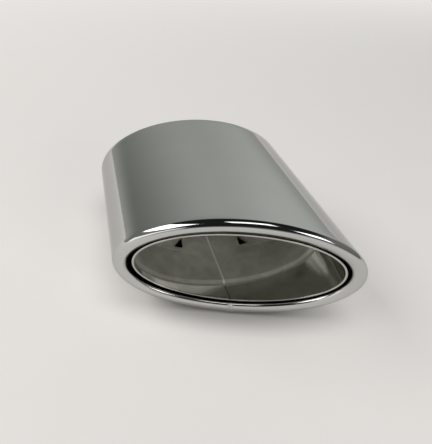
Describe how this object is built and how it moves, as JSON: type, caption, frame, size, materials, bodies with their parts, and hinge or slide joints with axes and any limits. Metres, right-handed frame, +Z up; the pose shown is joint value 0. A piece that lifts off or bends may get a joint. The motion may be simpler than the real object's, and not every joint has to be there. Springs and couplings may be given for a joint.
{
  "type": "exhaust tip",
  "caption": "Oval double-walled exhaust tip with a slanted mouth, a rolled chrome lip, a satin liner and a round inlet sleeve that slips over a tailpipe.",
  "frame": {"origin": "centre of the inlet sleeve on the plane of the shell's rear edge", "axes": "+X along the tip from inlet to outlet, +Z up as fitted to the car, +Y towards the longer side of the mouth"},
  "size_m": [0.1315, 0.12, 0.069],
  "materials": {
    "chrome_shell": "polished chrome",
    "satin_liner": "satin rolled stainless steel",
    "inlet_steel": "plain mill-finished stainless steel"
  },
  "bodies": {
    "root": {"outer_shell": "chrome_shell", "inner_liner": "satin_liner", "inlet_sleeve": "inlet_steel", "end_plate": "inlet_steel"}
  },
  "joints": []
}
